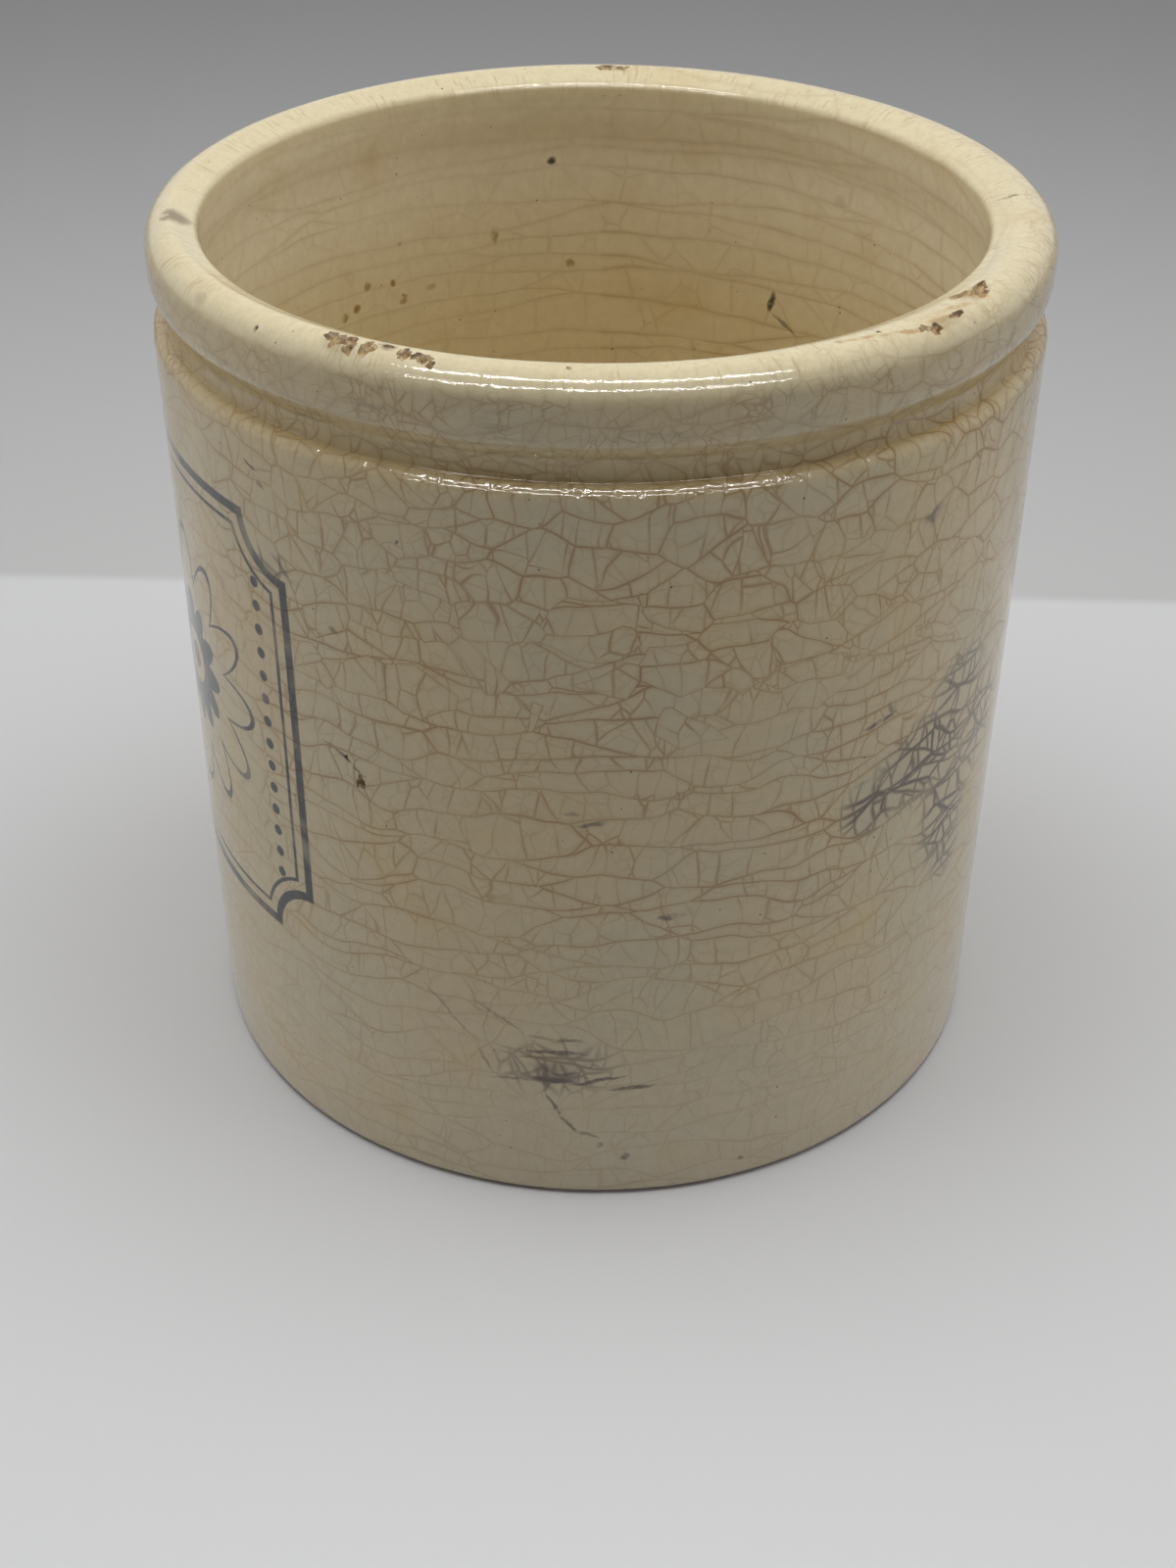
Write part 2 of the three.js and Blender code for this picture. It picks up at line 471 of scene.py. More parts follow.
clay = {
    "foot": (0.50, 0.35, 0.25, 1),
    "chip": (0.64, 0.49, 0.285, 1),
    "dirt": (0.27, 0.185, 0.10, 1),
    "sand": (0.74, 0.60, 0.38, 1),
    "roughness": 0.85,
    "shine": 0.15,
    "relief": 0.12 * mm,
}


def clayMaterial():
    material, tree = newMaterial("bareClay")
    place = millimetres(tree)
    height = put(tree, "ShaderNodeSeparateXYZ", {"Vector": place}).outputs["Z"]
    broken = eased(tree, height, 2, 4)
    colour = tint(tree, broken, clay["foot"], clay["chip"])
    grime = eased(tree, cloud(tree, place, 1.0, 4.0), 0.48, 0.66)
    grime = times(tree, grime, eased(tree, height, 2, 4, 0.35, 0.9))
    colour = tint(tree, grime, colour, clay["dirt"])
    sand = cloud(tree, place, 0.25, 3.0)
    grains = times(tree, eased(tree, sand, 0.55, 0.68, 0.0, 0.8), broken)
    colour = tint(tree, grains, colour, clay["sand"])
    bump = put(tree, "ShaderNodeBump", {"Strength": 1.0, "Distance": clay["relief"], "Height": sand})
    sockets = {"Base Color": colour, "Roughness": clay["roughness"], "Specular IOR Level": clay["shine"],
               "Normal": bump.outputs["Normal"]}
    shader = put(tree, "ShaderNodeBsdfPrincipled", sockets)
    put(tree, "ShaderNodeOutputMaterial", {"Surface": shader.outputs["BSDF"]})
    return material


wallArc = 54.4  # radius in millimetres at which angles become lengths round the wall


# Soft-edged spots, each with its angle, height (or radius, on the rim), half width, half height,
# turn and strength, as the greatest of all of them; degrees and millimetres
def spotted(tree, wall, spots):
    most = 0.0
    for angle, height, halfWidth, halfHeight, turn, strength in spots:
        turn = radians(turn)
        offset = vectors(tree, "SUBTRACT", wall, (radians(angle) * wallArc, height, 0))
        lengthways = (cos(turn) / halfWidth, sin(turn) / halfWidth, 0)
        crossways = (-sin(turn) / halfHeight, cos(turn) / halfHeight, 0)
        along = vectors(tree, "DOT_PRODUCT", offset, lengthways)
        across = vectors(tree, "DOT_PRODUCT", offset, crossways)
        reach = maths(tree, "MULTIPLY_ADD", along, along, times(tree, across, across))
        most = maths(tree, "MAXIMUM", eased(tree, reach, 0.05, 1.0, strength, 0.0), most)
    return most


# Stained strokes, each from one angle and height to another, with its half width and strength
def stroked(tree, wall, strokes):
    spots = []
    for angle, height, endAngle, endHeight, width, strength in strokes:
        along = radians(endAngle - angle) * wallArc
        up = endHeight - height
        spots.append(((angle + endAngle) / 2, (height + endHeight) / 2,
                      hypot(along, up) * 0.6, width * 1.2, degrees(atan2(up, along)), strength))
    return spotted(tree, wall, spots)


# Crackled glaze, one recipe for all three coats

bands = {  # heights in millimetres where each starts, is full, begins to fade and ends
    "lip": (99.8, 100.3, 101.1, 101.6),
    "groove": (100.3, 101.6, 103.4, 107.0),
    "bead": (102.5, 104.5, 109.5, 112.3),
}

outerLook = {
    "name": "creamGlaze",
    "cream": (0.640, 0.520, 0.312, 1),
    "cool": (0.605, 0.522, 0.348, 1),
    "warm": (0.650, 0.490, 0.245, 1),
    # painted light: the rim top is given a lighter colour, as lit from above
    "rim": (0.750, 0.660, 0.430, 1),
    "pool": (0.600, 0.465, 0.235, 1),  # in the tie groove
    "pale": (0.665, 0.578, 0.430, 1),  # near the foot
    "upper": (0.690, 0.590, 0.385, 1),  # under the rim inside the jar, and lower down
    "deep": (0.690, 0.590, 0.385, 1),
    "mottle": (0.55, 0.48, 0.40, 1),
    "crackTint": (0.60, 0.42, 0.25, 1),  # on the wall, and on the rim bead
    "beadTint": (0.56, 0.39, 0.27, 1),
    "pinhole": (0.03, 0.024, 0.02, 1),
    "longCracks": (17, 17, 3.9),       # cell sizes in millimetres
    "netCracks": (7.2, 7.2, 4.0),
    "shortCracks": (3.3, 3.3, 8.0),
    "fineCracks": (2.4, 2.4, 2.4),
    "netHeight": 78,                   # the net of cracks lies above this height
    "borderWander": 26,                # and its lower border wanders this much
    "lined": 0.0,                      # share of the two colours of the inside
    "drift": 7,                        # slow and fine wander of the cracks
    "bend": 1.5,
    "crackWidth": 0.21,
    "crackStrength": (0.92, 0.75, 0.32),  # of long, short and fine cracks on the wall
    "beadStrength": (0.3864, 0.39, 0.62),  # and on the rim bead
    "lowCracks": 0.30,                 # share of their strength left near the foot
    "pinSpacing": 2.0,
    "pitSpacing": 1.4,                 # of the small pits along the lip
    "pitDepth": 0.06,
    "peel": 0.050,                     # height of the orange peel
    "roughness": 0.06,
    "wear": 0.10,                      # more roughness where the glaze is worn
    "soaked": [
        (48.0, 57.5, 13.0, 8.0, 12, 1.0),
        (54.0, 64.5, 8.0, 6.5, 25, 0.85),
        (37.0, 54.0, 6.0, 5.0, -10, 0.95),
        (54.0, 47.0, 7.5, 11.0, 0, 0.95),
        (56.0, 38.5, 4.5, 5.0, 0, 0.7),
        (62.0, 56.0, 7.0, 10.0, 0, 0.8),
        (-5.0, 21.5, 10.0, 5.5, 0, 0.55),
        (43.5, 91.4, 2.6, 1.5, 25, 0.5),
        (-43.3, 84.5, 4.0, 2.6, 0, 0.5),
    ],
    "strokes": [
        (-9.5, 23.8, -0.8, 23.9, 0.35, 0.8),
        (-5.8, 25.7, -1.6, 26.0, 0.30, 0.6),
        (-10.3, 22.8, -6.2, 22.9, 0.30, 0.55),
        (-6.7, 22.7, -6.3, 17.2, 0.45, 0.7),
        (-8.7, 19.1, -2.7, 19.6, 0.55, 0.9),
        (-5.8, 20.4, -1.9, 20.7, 0.35, 0.7),
        (-3.1, 18.8, 4.1, 20.2, 0.35, 0.8),
        (2.1, 17.8, 8.3, 18.5, 0.35, 0.8),
        (-6.3, 17.2, -4.6, 13.4, 0.32, 0.75),
        (-4.6, 13.4, -2.3, 10.7, 0.32, 0.7),
        (-2.3, 10.7, 1.0, 9.8, 0.30, 0.5),
        (-15.6, 23.2, -13.7, 19.7, 0.30, 0.45),
        (-14.0, 18.8, -6.4, 19.4, 0.30, 0.5),
        (-23.4, 32.3, -15.6, 24.1, 0.25, 0.35),
        (-16.2, 31.3, -9.0, 26.3, 0.28, 0.4),
        (-9.0, 26.3, -0.8, 25.8, 0.28, 0.45),
        (-2.9, 58.4, 1.6, 59.3, 0.40, 0.7),
        (-4.0, 60.4, -1.9, 60.1, 0.30, 0.5),
        (34.6, 65.9, 40.1, 66.6, 0.40, 0.85),
        (38.5, 68.4, 39.8, 66.3, 0.40, 0.6),
        (-36.5, 63.4, -34.4, 63.0, 0.20, 0.8),
        (-34.4, 63.0, -31.8, 61.6, 0.22, 0.9),
        (-31.8, 61.6, -29.9, 60.1, 0.20, 0.9),
        (-46.3, 96.8, -43.7, 95.8, 0.20, 0.8),
        (-44.1, 94.5, -42.7, 94.0, 0.40, 0.6),
        (-34.1, 79.7, -32.6, 78.9, 0.40, 0.6),
        (-45.5, 85.0, -41.5, 83.2, 0.40, 0.5),
        (-42.9, 86.3, -39.0, 83.2, 0.35, 0.5),
    ],
    "stain": (0.098, 0.073, 0.058, 1),
    "soakTint": (0.43, 0.38, 0.34, 1),
    "spots": [
        (-5.5, 20.5, 4.5, 2.2, 0, 0.5),
        (0.9, 8.6, 0.8, 0.5, 0, 0.6),
        (4.5, 6.6, 0.7, 0.6, 0, 0.8),
        (20.7, 3.5, 0.5, 0.5, 0, 0.6),
        (-23.5, 92.9, 0.45, 0.45, 0, 0.9),
        (9.0, 45.0, 1.3, 0.6, 0, 0.85),
        (10.3, 45.2, 1.3, 0.4, 0, 0.5),
        (43.5, 91.4, 2.0, 0.8, 25, 0.4),
    ],
    "spotTint": (0.15, 0.11, 0.10, 1),
    "rimGrime": [
        (-25.3, 51.9, 1.7, 0.9, 0, 0.9),
        (-31.0, 52.9, 3.0, 1.7, 0, 0.45),
        (-80.8, 51.0, 3.0, 2.3, 0, 0.95),
        (-80.4, 52.0, 2.4, 1.1, 0, 0.95),
        (53.0, 51.2, 3.6, 1.8, 0, 0.55),
        (44.0, 53.2, 3.6, 0.9, 0, 0.35),
        (178.5, 50.9, 2.4, 1.0, 0, 0.6),
        (-54.4, 54.1, 1.3, 0.9, 0, 0.3),
        (-42.7, 54.1, 0.4, 0.4, 0, 0.7),
    ],
    "rimRust": [
        (38.7, 52.7, 2.2, 0.50, 6, 0.9),
        (35.8, 52.3, 1.8, 0.45, 6, 0.7),
        (44.0, 52.7, 3.4, 0.50, 6, 0.7),
        (32.0, 51.6, 2.6, 0.50, 6, 0.8),
        (29.2, 51.3, 1.0, 0.45, 0, 0.9),
        (48.0, 51.9, 3.0, 0.60, 10, 0.7),
        (55.5, 50.4, 3.0, 0.50, 0, 0.6),
    ],
    "grimeTint": (0.27, 0.205, 0.12, 1),
    "rustTint": (0.46, 0.28, 0.11, 1),
    "hairTint": (0.42, 0.28, 0.13, 1),     # fine scratches across the rim
    "speckleTint": (0.56, 0.46, 0.28, 1),
    "streakTint": (0.30, 0.27, 0.20, 1),   # grime along the bead
}

innerLook = dict(
    outerLook,
    name="linerGlaze",
    lined=1.0,
    # painted light: lighter under the rim, as the upper inside wall is lit from above
    upper=(0.790, 0.705, 0.510, 1),
    deep=(0.725, 0.615, 0.375, 1),
    netHeight=140,
    longCracks=(60, 60, 4.4),
    shortCracks=(7, 7, 12),
    drift=2.5,
    bend=0.7,
    crackWidth=0.24,
    crackStrength=(0.30, 0.17, 0.0),
    beadStrength=(0.126, 0.0884, 0.0),
    lowCracks=1.0,
    soaked=[],
    strokes=[
        (149.0, 82.6, 143.5, 79.6, 0.35, 0.6),
        (148.6, 85.6, 149.6, 82.4, 0.6, 0.95),
        (-172.4, 101.9, -170.8, 101.9, 0.6, 0.95),
    ],
    stain=(0.050, 0.042, 0.022, 1),
    spots=[
        (-137.8, 87.7, 1.0, 0.7, 0, 0.8),
        (-142.9, 87.2, 0.7, 0.7, 0, 1.0),
        (-144.8, 84.5, 1.0, 0.9, 0, 0.9),
        (-135.4, 85.1, 0.8, 0.8, 0, 1.0),
        (-132.5, 84.3, 1.0, 0.9, 0, 0.9),
        (-161.7, 91.7, 0.9, 1.6, 0, 0.8),
        (-174.6, 86.9, 1.0, 0.8, 0, 0.8),
        (-149.9, 85.4, 1.2, 0.7, 0, 0.5),
        (-144.4, 92.6, 0.6, 0.5, 0, 0.5),
        (137.0, 101.0, 1.6, 1.2, 0, 0.25),
    ],
    spotTint=(0.36, 0.215, 0.065, 1),
)
baseLook = dict(
    outerLook,
    name="recessGlaze",
    crackStrength=(0.6, 0.5, 0.3),
    lowCracks=1.0,
    soaked=[],
    strokes=[],
    spots=[],
    rimGrime=[],
    rimRust=[],
)


# Places on the jar and uneven fields that all steps of a glaze share
def glazeFields(tree):
    place = millimetres(tree)
    parts = put(tree, "ShaderNodeSeparateXYZ", {"Vector": place})
    angle = maths(tree, "ARCTAN2", parts.outputs["X"], times(tree, parts.outputs["Y"], -1))
    return SimpleNamespace(
        place=place,
        height=parts.outputs["Z"],
        arc=times(tree, angle, wallArc),
        radius=vectors(tree, "LENGTH", vectors(tree, "MULTIPLY", place, (1, 1, 0))),
        patches=cloud(tree, shifted(tree, place, (40, 0, 0)), 19),
        finePatches=cloud(tree, shifted(tree, place, (0, 60, 0)), 6),
        grain=cloud(tree, shifted(tree, place, (15, 15, 15)), 1.6, 3.0),
        stray=wander(tree, place, 2.2, 2.0),
        edge=put(tree, "ShaderNodeAttribute", attribute_name="broken").outputs["Fac"],
    )


# Distances to the cracks: long ones that run round the wall, or a net of them near the shoulder,
# then later ones that each stop at the lines of the one before
def crazing(tree, at, look):
    drift = wander(tree, at.place, 17)
    bend = wander(tree, shifted(tree, at.place, (0, 0, 50)), 6)
    warped = strayed(tree, at.place, drift, (look["drift"],) * 3)
    warped = strayed(tree, warped, bend, (look["bend"],) * 3)
    long, longCell, _ = cracks(tree, warped, look["longCracks"], (0.3, 0.7, 0.1))
    net, netCell, netCentre = cracks(tree, warped, look["netCracks"], (0, 0, 0))
    netCentre = vectors(tree, "MULTIPLY", netCentre, look["netCracks"])
    netHeight = put(tree, "ShaderNodeSeparateXYZ", {"Vector": netCentre}).outputs["Z"]
    chance = put(tree, "ShaderNodeSeparateColor", {"Color": netCell}).outputs["Red"]
    lowest = look["netHeight"] - look["borderWander"] / 2
    border = maths(tree, "MULTIPLY_ADD", chance, look["borderWander"], lowest)
    inNet = maths(tree, "GREATER_THAN", netHeight, border)
    first = put(tree, "ShaderNodeMix", {0: inNet, 2: long, 3: net}).outputs[0]
    firstCell = tint(tree, inNet, longCell, netCell)
    ownShift = vectors(tree, "MULTIPLY", firstCell, (31, 17, 23))
    second, secondCell, _ = cracks(tree, warped, look["shortCracks"], ownShift)
    ownShift = vectors(tree, "MULTIPLY", secondCell, (19, 29, 13))
    third, _, _ = cracks(tree, warped, look["fineCracks"], ownShift)
    return SimpleNamespace(first=first, second=second, third=third, net=net)


# Darkness of the cracks and of the halo round them, less near the foot, on the crest and at the left
def crackShades(tree, at, look, lines):
    width = times(tree, look["crackWidth"], eased(tree, at.finePatches, 0.3, 0.7, 0.7, 1.3))
    width = times(tree, width, eased(tree, at.height, 102, 105, 1.0, 0.72))
    shades = []
    for distance, onWall, onBead, patches, low, high in (
        (lines.first, look["crackStrength"][0], look["beadStrength"][0], at.patches, 0.55, 1.0),
        (lines.second, look["crackStrength"][1], look["beadStrength"][1], at.finePatches, 0.40, 1.0),
        (lines.third, look["crackStrength"][2], look["beadStrength"][2], at.finePatches, 0.15, 0.9),
    ):
        strength = eased(tree, at.height, 101, 105, onWall, onBead)
        shade = eased(tree, distance, 0.0, width, strength, 0.0)
        shades.append(times(tree, shade, eased(tree, patches, 0.36, 0.64, low, high)))
    onCrest = eased(tree, at.arc, 18, 34, 0.15, 0.6)
    fade = times(tree, eased(tree, at.height, 8, 62, look["lowCracks"], 1.0),
                 eased(tree, at.height, 110.3, 112.9, 1.0, onCrest),
                 eased(tree, at.arc, -58, -34, 0.6, 1.0))
    halo = largest(tree, eased(tree, lines.first, 0.0, 0.9, 0.35, 0.0),
                   eased(tree, lines.second, 0.0, 0.6, 0.18, 0.0))
    return times(tree, largest(tree, *shades), fade), times(tree, halo, at.patches, fade)


# Body colour, deeper inside the jar, pooled yellower where the glaze ran into the tie groove
# Painted light: the rim top and the upper inside wall are given lighter colours, as lit from above
def bodyColour(tree, at, look):
    cool = eased(tree, cloud(tree, at.place, 24, 3.0), 0.35, 0.7)
    colour = tint(tree, cool, look["cream"], look["cool"])
    colour = tint(tree, eased(tree, at.height, 0, 45, 0.7, 0.0), colour, look["pale"])
    # Painted light: lighter colour on the rim top, as lit from above
    colour = tint(tree, eased(tree, at.height, 110.2, 112.4, 0.0, 0.85), colour, look["rim"])
    # Inside the jar, lighter towards the mouth: painted light on the upper inside wall
    lining = tint(tree, eased(tree, at.height, 80, 104), look["deep"], look["upper"])
    within = times(tree, eased(tree, at.height, 109.5, 112.9, 1.0, 0.0),
                   eased(tree, at.radius, 51.2, 51.6, look["lined"], 0.0))
    colour = tint(tree, within, colour, lining)
    warmth = cloud(tree, shifted(tree, at.place, (0, 0, 90)), 13, 3.0)
    colour = tint(tree, eased(tree, warmth, 0.52, 0.78, 0.0, 0.5), colour, look["warm"])
    pooled = times(tree, between(tree, at.height, bands["groove"]),
                   eased(tree, at.radius, 50, 52, 0.0, 0.85))
    colour = tint(tree, pooled, colour, look["pool"])
    return tint(tree, eased(tree, at.grain, 0.35, 0.65, 0.10, 0.0), colour, look["mottle"], "MULTIPLY")


# Stain that has soaked into some of the cracks, and single strokes and spots of it
def stained(tree, at, look, lines, wall, colour):
    if look["soaked"]:
        soak = spotted(tree, wall, look["soaked"])
        soakLine = largest(tree, eased(tree, lines.net, 0.08, 0.50, 1.0, 0.0),
                           eased(tree, lines.first, 0.05, 0.45, 0.9, 0.0),
                           eased(tree, lines.second, 0.0, 0.45, 0.85, 0.0))
        dark = times(tree, soak, soakLine, eased(tree, at.grain, 0.16, 0.40), 0.95)
        colour = tint(tree, times(tree, soak, 0.22), colour, look["soakTint"])
        colour = tint(tree, dark, colour, look["stain"])
    if look["strokes"]:
        stroke = stroked(tree, wall, look["strokes"])
        stroke = times(tree, stroke, eased(tree, at.grain, 0.3, 0.5, 0.35, 1.0))
        colour = tint(tree, stroke, colour, look["stain"])
    if look["spots"]:
        spot = spotted(tree, wall, look["spots"])
        spot = times(tree, spot, eased(tree, at.grain, 0.34, 0.52, 0.2, 1.0))
        colour = tint(tree, spot, colour, look["spotTint"])
    return colour


# Grime along the bead, and worn, rusty and grimy places on the rim
def rimWorn(tree, at, look, colour):
    lengthways = flat(tree, times(tree, at.arc, 0.10), at.height)
    streaks = times(tree, eased(tree, cloud(tree, lengthways, 0.8, 3.0), 0.50, 0.72),
                    between(tree, at.height, bands["bead"]),
                    eased(tree, at.arc, -35, 15, 0.65, 0.3),
                    eased(tree, at.radius, 51, 52.4),
                    eased(tree, at.finePatches, 0.35, 0.6))
    colour = tint(tree, streaks, colour, look["streakTint"])
    rim = flat(tree, at.arc, at.radius)
    onRim = eased(tree, at.height, 111.6, 112.8)
    speckle = eased(tree, cloud(tree, at.place, 0.7, 3.0), 0.50, 0.68, 0.0, 0.28)
    colour = tint(tree, times(tree, speckle, onRim), colour, look["speckleTint"])
    crossways = vectors(tree, "MULTIPLY", rim, (1, 0.18, 0))
    hairs = times(tree, eased(tree, cloud(tree, crossways, 0.55), 0.52, 0.68), onRim,
                  eased(tree, at.finePatches, 0.42, 0.62, 0.05, 0.42))
    colour = tint(tree, hairs, colour, look["hairTint"])
    rim = strayed(tree, rim, at.stray, (1.0, 1.0, 0))
    rust = times(tree, spotted(tree, rim, look["rimRust"]),
                 eased(tree, at.grain, 0.34, 0.56, 0.15, 0.9), onRim)
    colour = tint(tree, rust, colour, look["rustTint"])
    grime = times(tree, spotted(tree, rim, look["rimGrime"]),
                  eased(tree, at.grain, 0.32, 0.52, 0.3, 1.0), onRim)
    return tint(tree, grime, colour, look["grimeTint"])


# Pinholes fired into the glaze, in some of the cells of a loose scatter
def pinholed(tree, at, look, colour):
    sockets = {"Vector": at.place, "Scale": 1 / look["pinSpacing"], "Randomness": 1.0}
    dots = put(tree, "ShaderNodeTexVoronoi", sockets)
    chance = put(tree, "ShaderNodeSeparateColor", {"Color": dots.outputs["Color"]})
    distance = times(tree, dots.outputs["Distance"], look["pinSpacing"])
    size = maths(tree, "MULTIPLY_ADD", chance.outputs["Red"], 0.12, 0.09)
    pin = times(tree, eased(tree, distance, 0.05, size, 1.0, 0.0),
                eased(tree, chance.outputs["Green"], 0.60, 0.85))
    return tint(tree, pin, colour, look["pinhole"])


# Orange peel, and small pits along the lip
def glazeRelief(tree, at, look, wall):
    peel = times(tree, cloud(tree, at.place, 1.0, 3.0), look["peel"])
    sockets = {"Vector": wall, "Scale": 1 / look["pitSpacing"], "Randomness": 0.8}
    pits = put(tree, "ShaderNodeTexVoronoi", sockets, voronoi_dimensions="2D")
    pit = eased(tree, pits.outputs["Distance"], 0.05, 0.36, -look["pitDepth"], 0.0)
    onLip = times(tree, between(tree, at.height, bands["lip"]), eased(tree, at.radius, 51, 52))
    relief = maths(tree, "MULTIPLY_ADD", pit, onLip, peel)
    bump = put(tree, "ShaderNodeBump", {"Strength": 1.0, "Distance": mm, "Height": relief})
    return bump.outputs["Normal"]


def glazeMaterial(look, ink=None):
    material, tree = newMaterial(look["name"])
    at = glazeFields(tree)
    lines = crazing(tree, at, look)
    crack, halo = crackShades(tree, at, look, lines)
    wall = strayed(tree, flat(tree, at.arc, at.height), at.stray, (1.3, 1.3, 0))
    colour = bodyColour(tree, at, look)
    if ink:
        colour = tint(tree, ink(tree, at), colour, printed["ink"])
    crackTint = tint(tree, eased(tree, at.height, 100, 105), look["crackTint"], look["beadTint"])
    colour = tint(tree, halo, colour, crackTint, "MULTIPLY")
    colour = tint(tree, crack, colour, crackTint, "MULTIPLY")
    colour = stained(tree, at, look, lines, wall, colour)
    if look["rimGrime"]:
        colour = rimWorn(tree, at, look, colour)

    # Dirty broken edges of the glaze round the chips
    edgeColour = tint(tree, eased(tree, at.grain, 0.42, 0.56), clay["chip"], clay["dirt"])
    colour = tint(tree, times(tree, at.edge, 0.85), colour, edgeColour)
    colour = pinholed(tree, at, look, colour)

    wear = cloud(tree, shifted(tree, at.place, (5, 25, 45)), 8, 4.0)
    wear = eased(tree, wear, 0.45, 0.75, look["roughness"], look["roughness"] + look["wear"])
    rough = maths(tree, "MULTIPLY_ADD", crack, 0.15, wear)
    rough = largest(tree, rough, times(tree, at.edge, 0.8))
    sockets = {"Base Color": colour, "Roughness": rough, "IOR": 1.52,
               "Normal": glazeRelief(tree, at, look, wall)}
    shader = put(tree, "ShaderNodeBsdfPrincipled", sockets)
    put(tree, "ShaderNodeOutputMaterial", {"Surface": shader.outputs["BSDF"]})
    return material


# Printed mark under the glaze: a ruled panel with hollowed corners round a many-petalled rosette,
# in worn blue-black ink; millimetres from its middle

printed = {
    "angle": -70.0,
    "height": 60.0,
    "halfWidth": 28.0,
    "halfHeight": 30.0,
    "notch": 7.0,
    "ruleInset": 0.7,
    "heavyRule": 1.3,
    "lightRule": 0.55,
    "ruleGap": 2.2,
    "petals": 12,
    "petalFoot": 12.0,       # petal outlines from this radius out by the reach
    "petalReach": 6.5,
    "petalRule": 1.0,
    "coreFoot": 6.5,         # solid core with petals of its own
    "coreReach": 3.2,
    "eye": 3.6,              # pale ring in the core, and the dot in its middle
    "pip": 1.7,
    "beadPitch": 3.2,        # beads along the upright rules
    "beadInset": 6.0,
    "beadRadius": 0.62,
    "beadStop": 8.0,         # how far short of the panel's ends they stop
    "ink": (0.042, 0.050, 0.064, 1),
}


def ruled(tree, distance, offset, width):
    away = maths(tree, "ABSOLUTE", maths(tree, "ADD", distance, offset))
    return eased(tree, away, width / 2 - 0.12, width / 2 + 0.12, 1.0, 0.0)


# Distance outside a petalled outline
def petalled(tree, reach, wave, foot, length):
    return maths(tree, "SUBTRACT", reach, maths(tree, "ADD", foot, times(tree, wave, length)))


def rosette(tree, u, v):
    reach = vectors(tree, "LENGTH", flat(tree, u, v))
    turn = times(tree, maths(tree, "ARCTAN2", v, u), printed["petals"] / 2)
    wave = maths(tree, "ABSOLUTE", maths(tree, "COSINE", turn))
    petal = petalled(tree, reach, wave, printed["petalFoot"], printed["petalReach"])
    core = petalled(tree, reach, wave, printed["coreFoot"], printed["coreReach"])
    core = times(tree, eased(tree, core, -0.12, 0.12, 1.0, 0.0),
                 eased(tree, reach, printed["eye"], printed["eye"] + 0.25))
    pip = eased(tree, reach, printed["pip"], printed["pip"] + 0.25, 1.0, 0.0)
    return largest(tree, ruled(tree, petal, 0.0, printed["petalRule"]), core, pip)


def printInk(tree, at):
    u = maths(tree, "SUBTRACT", at.arc, radians(printed["angle"]) * wallArc)
    v = maths(tree, "SUBTRACT", at.height, printed["height"])
    beyondU = maths(tree, "SUBTRACT", maths(tree, "ABSOLUTE", u), printed["halfWidth"])
    beyondV = maths(tree, "SUBTRACT", maths(tree, "ABSOLUTE", v), printed["halfHeight"])
    corner = vectors(tree, "LENGTH", flat(tree, beyondU, beyondV))
    edge = largest(tree, beyondU, beyondV, maths(tree, "SUBTRACT", printed["notch"], corner))
    heavy = ruled(tree, edge, printed["ruleInset"], printed["heavyRule"])
    light = ruled(tree, edge, printed["ruleInset"] + printed["ruleGap"], printed["lightRule"])

    pitch = printed["beadPitch"]
    step = maths(tree, "SUBTRACT", maths(tree, "FRACT", maths(tree, "DIVIDE", v, pitch)), 0.5)
    fromBead = flat(tree, maths(tree, "ADD", beyondU, printed["beadInset"]), times(tree, step, pitch))
    beads = eased(tree, vectors(tree, "LENGTH", fromBead), printed["beadRadius"],
                  printed["beadRadius"] + 0.24, 1.0, 0.0)
    stop = -printed["beadStop"]
    beads = times(tree, beads, eased(tree, beyondV, stop - 0.2, stop, 1.0, 0.0))

    mark = largest(tree, heavy, light, rosette(tree, u, v), beads)
    return times(tree, mark, eased(tree, at.finePatches, 0.30, 0.52, 0.62, 0.94))


for piece, node, slot, material in (
    (clayBody, "clay_body", "bare_clay", clayMaterial()),
    (outerGlaze, "outer_glaze", "cream_glaze", glazeMaterial(outerLook, printInk)),
    (innerGlaze, "inner_glaze", "liner_glaze", glazeMaterial(innerLook)),
    (baseGlaze, "base_glaze", "base_glaze", glazeMaterial(baseLook)),
):
    piece.data.materials.clear()
    piece.data.materials.append(material)
    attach(piece, "root")
    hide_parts(node)
print("glazes and clay finished")

# Pale floor, a shade darker behind the jar, and darker still farther back as painted shade

floorLook = {
    "halfSize": 1.6,
    "pale": (0.74, 0.745, 0.755, 1),
    "behind": (0.60, 0.60, 0.60, 1),
    # painted shade farther behind the jar
    "far": (0.50, 0.50, 0.505, 1),
    "bounce": 0.78,          # share of the light that it throws back on the jar
    "edge": 0.108,           # where it turns darker behind the jar, and how softly
    "softness": 0.002,
    "slant": 0.030,          # how much that edge runs aslant
    "farther": 0.5,          # and it is darkest this far behind that edge
    "drop": -0.05 * mm,      # a little below the foot ring
    "roughness": 0.7,
}


